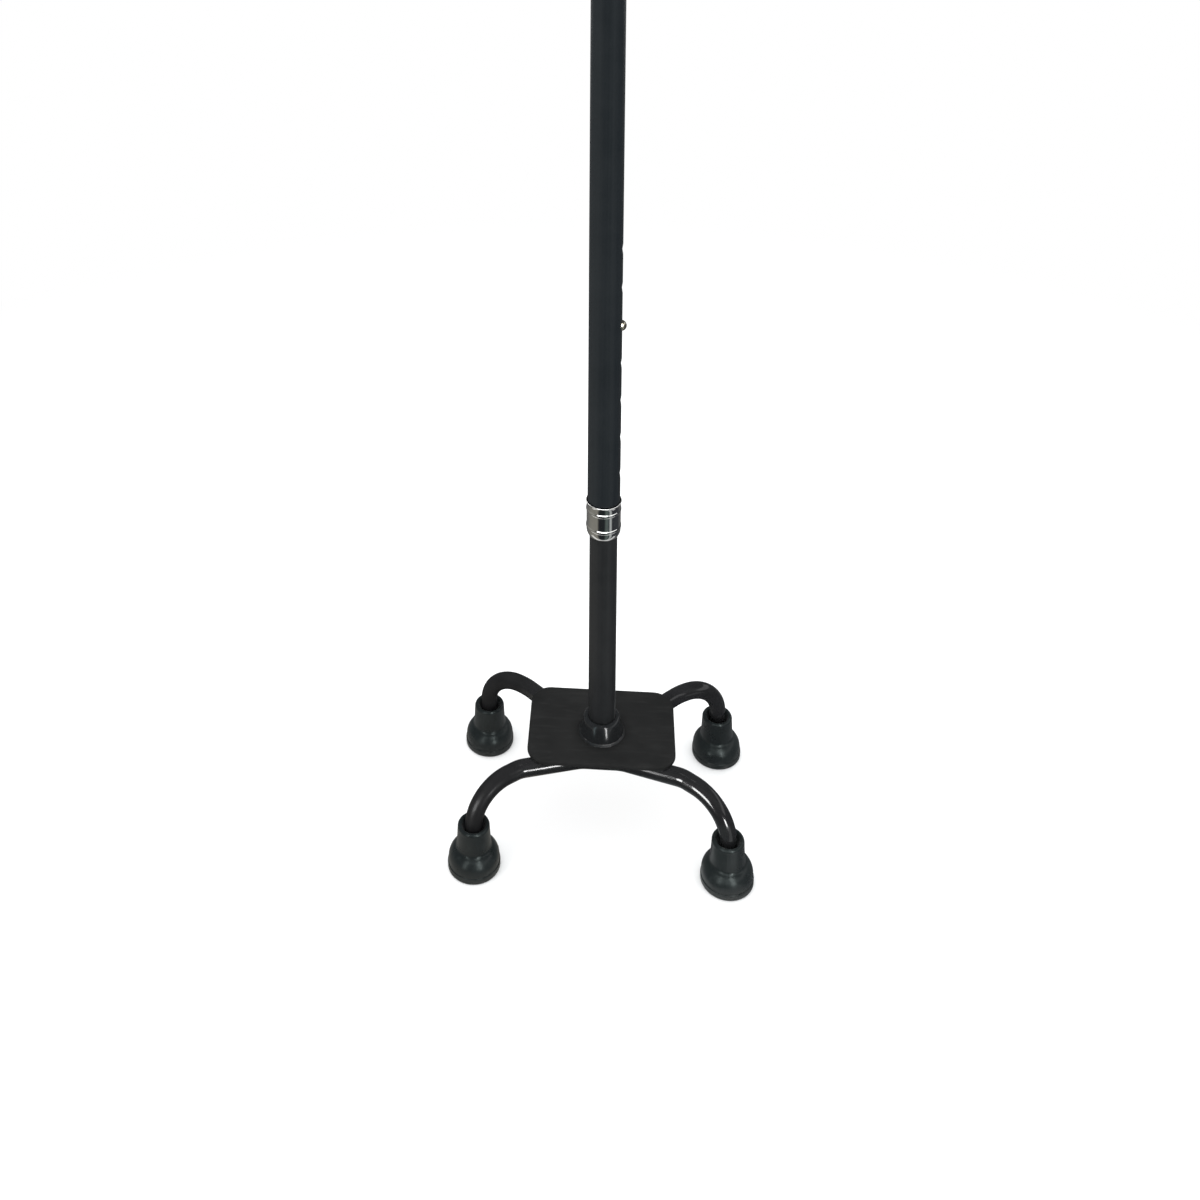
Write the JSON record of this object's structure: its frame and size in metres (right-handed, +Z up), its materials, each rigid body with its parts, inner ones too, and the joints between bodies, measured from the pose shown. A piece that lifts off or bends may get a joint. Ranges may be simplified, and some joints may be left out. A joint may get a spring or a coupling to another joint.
{
  "type": "quad walking cane",
  "caption": "Height adjustable walking cane on a four footed base, with a telescoping shaft, snap button, lock collar and offset handle.",
  "frame": {"origin": "on the floor, at the centre of the four feet; the axis of the shaft stands 4.5 mm in front of it, at y = -4.5 mm", "axes": "+Z up along the shaft, +X along the long side of the base towards the free end of the handle, +Y towards the rear pair of feet"},
  "size_m": [0.208, 0.1492, 0.8332],
  "materials": {
    "plate_paint": "matt black paint on pressed steel",
    "leg_paint": "gloss black paint on bent steel tube",
    "zinc_steel": "zinc plated steel",
    "spring_steel": "bare spring steel",
    "tip_rubber": "satin moulded black rubber",
    "lower_tube_coat": "dark grey powder coat on aluminium tube",
    "upper_tube_coat": "satin bluish black coat on aluminium tube",
    "nylon": "black nylon",
    "button_brass": "polished brass",
    "collar_chrome": "bright chrome plate",
    "grip_foam": "closed cell foam rubber",
    "plug_plastic": "moulded black plastic"
  },
  "bodies": {
    "base": {"base_plate": "plate_paint", "base_socket": "leg_paint", "socket_weld": "plate_paint", "front_leg_tube": "leg_paint", "rear_leg_tube": "leg_paint", "leg_welds": "leg_paint", "lock_washer": "zinc_steel", "base_bolt": "zinc_steel", "threaded_insert": "zinc_steel", "front_left_tip": "tip_rubber", "front_right_tip": "tip_rubber", "rear_left_tip": "tip_rubber", "rear_right_tip": "tip_rubber", "tip_washers": "zinc_steel", "lower_tube": "lower_tube_coat", "guide_bush": "nylon", "snap_spring": "spring_steel"},
    "button": {"snap_button": "button_brass"},
    "upper_shaft": {"upper_tube": "upper_tube_coat", "collet_bush": "nylon", "handle_grip": "grip_foam", "handle_end_plug": "plug_plastic"},
    "collar": {"lock_collar": "collar_chrome"}
  },
  "joints": [
    {"name": "height_adjust", "type": "slide", "parent": "base", "child": "upper_shaft", "axis": [0, 0, 1], "range_m": [-0.054, 0.108]},
    {"name": "snap_button_press", "type": "slide", "parent": "base", "child": "button", "axis": [-1, 0, 0], "range_m": [0, 0.0046], "stiffness_N_per_m": 1800, "springref_m": -0.001, "deforming": ["snap_spring"]},
    {"name": "lock_collar_turn", "type": "hinge", "parent": "upper_shaft", "child": "collar", "pos_m": [0, -0.0045, 0.239], "axis": [0, 0, 1], "range_deg": [0, 270]}
  ]
}
